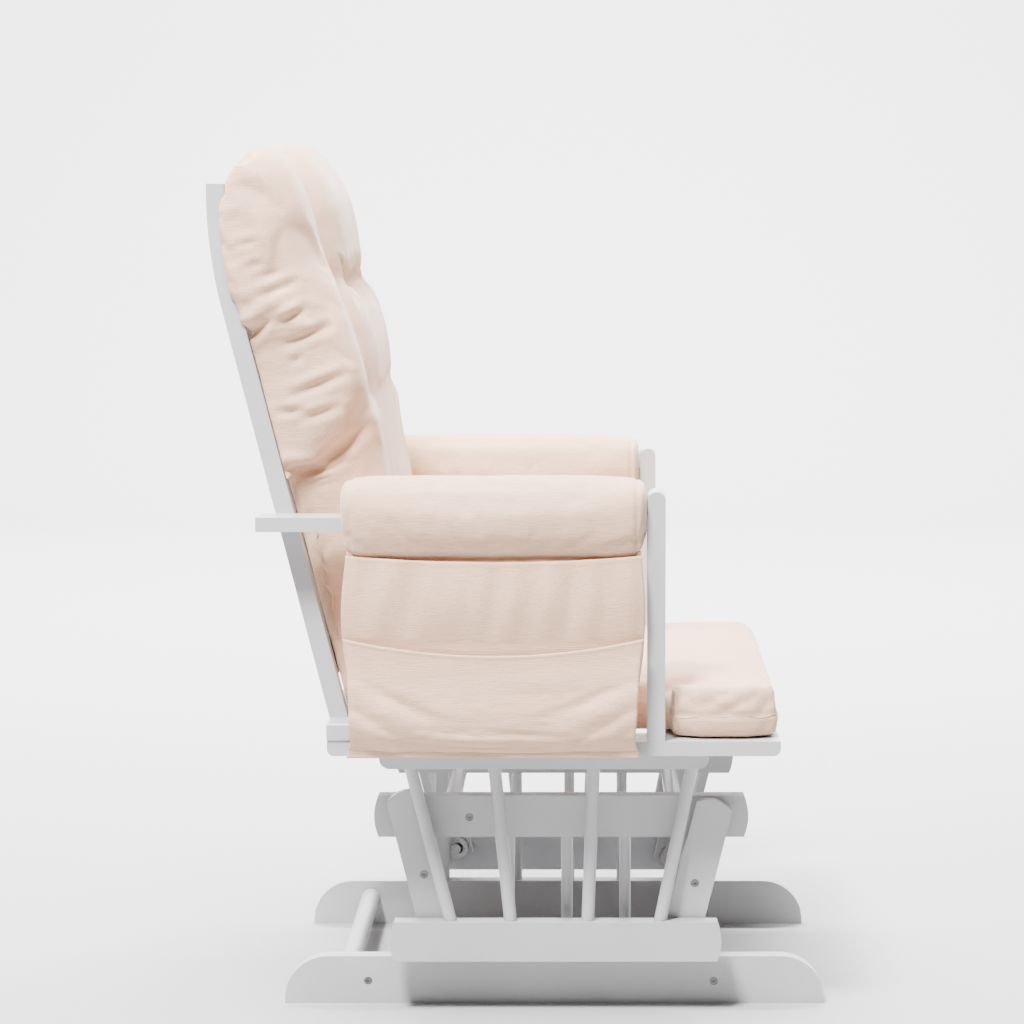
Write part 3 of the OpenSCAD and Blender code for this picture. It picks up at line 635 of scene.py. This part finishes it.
def arm_pad(side):
    """The padded roll round an arm board."""
    tag = "right" if side < 0 else "left"
    lo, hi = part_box("arm_pad_" + tag)
    outer, inner = max(abs(lo.y), abs(hi.y)), min(abs(lo.y), abs(hi.y))
    section = [(-0.012, -0.003), (-0.007, 0.008), (-0.003, 0.024), (-0.002, 0.042), (-0.003, 0.057), (-0.009, 0.071),
               (-0.022, 0.079), (-0.042, 0.081), (-0.064, 0.079), (-0.079, 0.071), (-0.085, 0.057), (-0.086, 0.043),
               (-0.085, 0.025), (-0.081, 0.011), (-0.072, 0.004), (-0.044, 0.002), (-0.026, 0.000), (-0.017, -0.005)]
    outline = [(side * (outer + a), lo.z + b) for a, b in section]
    turn = Matrix(((0, 1, 0, 0), (1, 0, 0, 0), (0, 0, 1, 0), (0, 0, 0, 1)))
    form = pillow(outline, lo.x + 0.002, hi.x - 0.002, 0.012, 0.012, turn)
    obj = merged("arm_pad_%s_soft" % tag, [form], 0.005)

    def held(co):
        return 1.0 if co.z < lo.z + 0.010 else 0.0

    filled(obj, 3.0, 0.003, held, 0.008)
    finer(obj)
    me = obj.data
    normals = [v.normal.copy() for v in me.vertices]
    for v, normal in zip(me.vertices, normals):
        co = v.co
        push = 0.0010 * noise.noise(Vector((co.x * 9, co.y * 26, co.z * 26)) + Vector((0, side * 4, 0)))
        push += 0.0006 * noise.noise(co * 45)
        end = min(co.x - lo.x, hi.x - co.x)
        push -= 0.0016 * bump01((end - 0.011) / 0.004)
        low = max(0.0, 1 - (co.z - lo.z) / 0.03)
        push -= 0.003 * low * bump01(end / 0.03)
        v.co = co + normal * push
    for v in me.vertices:
        v.co.x = max(lo.x + 0.0005, min(v.co.x, hi.x - 0.0005))
        if abs(v.co.y) < inner - 0.0005:
            v.co.y = side * (inner - 0.0005)
    me.update()
    ready(obj, BODY["arm_pad_" + tag], ["arm_pad_" + tag])
    return obj


def drape(name, node, top, bottom, rear, front, plane, side, thick=0.0022):
    """A hanging sheet between two edges. plane(u, v) is how far out each point lies,
    u running from rear to front and v from the top edge down to the hem."""
    nu, nv = 120, 90
    verts = []
    for j in range(nv + 1):
        v = j / nv
        for i in range(nu + 1):
            u = i / nu
            z0, z1 = top(u), bottom(u)
            x = rear(v) * (1 - u) + front(v) * u
            verts.append((x, side * plane(u, v), z0 + (z1 - z0) * v))
    w = nu + 1
    faces = [[j * w + i, j * w + i + 1, (j + 1) * w + i + 1, (j + 1) * w + i]
             for j in range(nv) for i in range(nu)]
    if side > 0:
        faces = [f[::-1] for f in faces]
    obj = object_from(name, verts, faces)
    m = obj.modifiers.new("thick", "SOLIDIFY")
    m.thickness, m.offset = thick, -1
    applied(obj)
    ready(obj, BODY[node], [node])
    return obj


def fold(u, v, at, to, width, height):
    """A soft ridge of cloth between two points of a sheet."""
    ax, ay = at
    dx, dy = to[0] - ax, to[1] - ay
    n = dx * dx + dy * dy
    t = max(0.0, min(1.0, ((u - ax) * dx + (v - ay) * dy) / n))
    ex, ey = u - ax - t * dx, v - ay - t * dy
    return height * bump01(math.hypot(ex, ey) / width) * (1 - 0.5 * abs(2 * t - 1))


def side_cloth(side):
    """The panel that hangs from an arm's roll, with its two pockets."""
    tag = "right" if side < 0 else "left"
    lo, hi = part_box("side_panel_" + tag)
    x0, x1 = lo.x, hi.x
    out = max(abs(lo.y), abs(hi.y))
    first, second = (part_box(n + tag) for n in ("upper_pocket_", "lower_pocket_"))
    up = max(abs(first[0].y), abs(first[1].y))
    dn = max(abs(second[0].y), abs(second[1].y))
    hem, roll = lo.z, hi.z
    tall = roll - hem

    def wave(u, v, fu, fv, size, seed=0.0):
        return size * noise.noise(Vector((u * fu + 5.3 * side + seed, v * fv, 3.7 + seed)))

    def rear(h):
        belly, flare = bump01((h - 0.33) / 0.36), bump01((h - 1) / 0.08)
        return x0 - 0.0005 - 0.0060 * belly + 0.009 * max(0.0, h - 0.5) - 0.005 * flare

    def front(h):
        belly, flare = bump01((h - 0.33) / 0.36), bump01((h - 1) / 0.08)
        return x1 - 0.0015 + 0.0040 * belly - 0.016 * max(0.0, h - 0.5) + 0.006 * flare

    def made(name, node, top, depth, plane, thick):
        """A layer from top(u) to the hem, its edges following the panel's."""
        high = top(0.5)

        def edge(line):
            return lambda v: line((roll - (high + (hem - high) * v)) / tall)

        obj = drape(name, node, top, lambda u: hem, edge(rear), edge(front), plane, side, thick)
        return obj

    made("side_panel_%s_cloth" % tag, "side_panel_" + tag, lambda u: roll + 0.003, tall + 0.003,
         lambda u, v: out - 0.0012 + wave(u, v, 6, 3, 0.0006), 0.002)

    def upper(u, v):
        belly = 0.0040 * math.sin(math.pi * min(1.0, v / 0.42)) * (v < 0.42)
        pleats = wave(u, v * 0.35, 13, 1.2, 0.0062, 1.0) * math.sin(math.pi * min(1.0, 0.04 + v * 2.4)) * (v < 0.4)
        hemmed = 0.0005 * bump01((v - 0.010) / 0.014)
        ends = -0.0025 * (bump01(u / 0.05) + bump01((1 - u) / 0.05))
        return up - 0.0012 + belly + pleats + hemmed + ends

    rim = first[1].z
    made("upper_pocket_%s_cloth" % tag, "upper_pocket_" + tag,
         lambda u: rim - 0.007 * (1 - (2 * u - 1) ** 2), rim - hem - 0.004, upper, 0.0022)

    folds = [((0.03, 0.42), (0.22, 0.74), 0.10, 0.0050), ((0.02, 0.66), (0.16, 0.90), 0.07, 0.0040),
             ((0.10, 0.40), (0.30, 0.62), 0.07, -0.0028), ((0.97, 0.44), (0.78, 0.72), 0.10, 0.0042),
             ((0.98, 0.66), (0.84, 0.88), 0.06, 0.0034), ((0.90, 0.40), (0.70, 0.58), 0.07, -0.0026),
             ((0.26, 0.78), (0.52, 0.84), 0.06, 0.0030), ((0.50, 0.74), (0.74, 0.78), 0.06, -0.0026),
             ((0.34, 0.90), (0.66, 0.92), 0.04, 0.0022)]

    def lower(u, v):
        d = dn - 0.0012 + 0.0075 * math.sin(math.pi * v ** 1.5) ** 1.2
        d += 0.8 * sum(fold(u, v, *f) for f in folds)
        d += wave(u, v, 4, 5, 0.0016, 2.0) * min(1.0, v * 2.5) + wave(u, v, 13, 16, 0.0004, 4.0) * min(1.0, v * 2)
        d += 0.0005 * bump01((v - 0.014) / 0.020)
        d -= 0.0100 * max(0.0, (v - 0.80) / 0.20) ** 1.2
        return max(d, up + 0.0022) if v > 0.05 else d

    top = second[1].z
    made("lower_pocket_%s_cloth" % tag, "lower_pocket_" + tag,
         lambda u: top - 0.019 * (1 - (2 * u - 1) ** 2), top - hem - 0.012, lower, 0.0024)


back_cushion()
seat_cushion()
for s in (-1, 1):
    arm_pad(s)
    side_cloth(s)


# ---------------------------------------------------------------- stage, light, camera
def stage():
    """A pale floor that curves up into a backdrop."""
    near, far, curve, high, half, steps = -7.0, 5.0, 1.5, 7.0, 9.0, 16
    line = [(near, 0.0), (far, 0.0)]
    for k in range(1, steps + 1):
        a = math.pi / 2 * k / steps
        line.append((far + curve * math.sin(a), curve - curve * math.cos(a)))
    line.append((far + curve, high))
    verts = [(x, y, z) for x in (-half, half) for y, z in line]
    n = len(line)
    obj = object_from("floor", verts, [[i, i + 1, n + i + 1, n + i] for i in range(n - 1)])
    obj.data.shade_smooth()
    m, _, s = new_material("pale_floor")
    s.inputs["Base Color"].default_value = (0.40, 0.40, 0.40, 1)
    s.inputs["Roughness"].default_value = 0.9
    s.inputs["Specular IOR Level"].default_value = 0.1
    dress(obj, m)


def area(name, at, to, size, energy, colour=(1, 1, 1)):
    """A soft rectangular light at one point, turned to face another."""
    light = bpy.data.lights.new(name, "AREA")
    light.shape, light.size, light.size_y = "RECTANGLE", size[0], size[1]
    light.energy, light.color = energy, colour
    obj = link(bpy.data.objects.new(name, light))
    obj.location = at
    obj.rotation_mode = "QUATERNION"
    obj.rotation_quaternion = (Vector(to) - Vector(at)).to_track_quat("-Z", "Y")


stage()
area("top", (-0.3, -0.6, 3.8), (0, 0, 0.3), (1.7, 1.7), 400)
area("key", (-1.0, -2.1, 3.9), (0, 0, 0.45), (0.8, 0.8), 640, (1.0, 0.995, 0.985))
area("back", (0, 2.6, 4.6), (0, 6.0, 0.6), (6.0, 1.6), 3600)
world = bpy.data.worlds.new("studio")
world.use_nodes = True
world.node_tree.nodes["Background"].inputs["Color"].default_value = (1, 1, 1, 1)
world.node_tree.nodes["Background"].inputs["Strength"].default_value = 0.22
bpy.context.scene.world = world

camera = bpy.data.cameras.new("camera")
camera.sensor_width = 36
camera.lens = 115.66
camera.shift_x = -0.0771
camera.clip_start, camera.clip_end = 0.05, 60
eye = link(bpy.data.objects.new("camera", camera))
eye.location = (0.079, -3.922, 0.945)
eye.rotation_euler = (math.radians(90 - 5.81), 0, 0)
bpy.context.scene.camera = eye
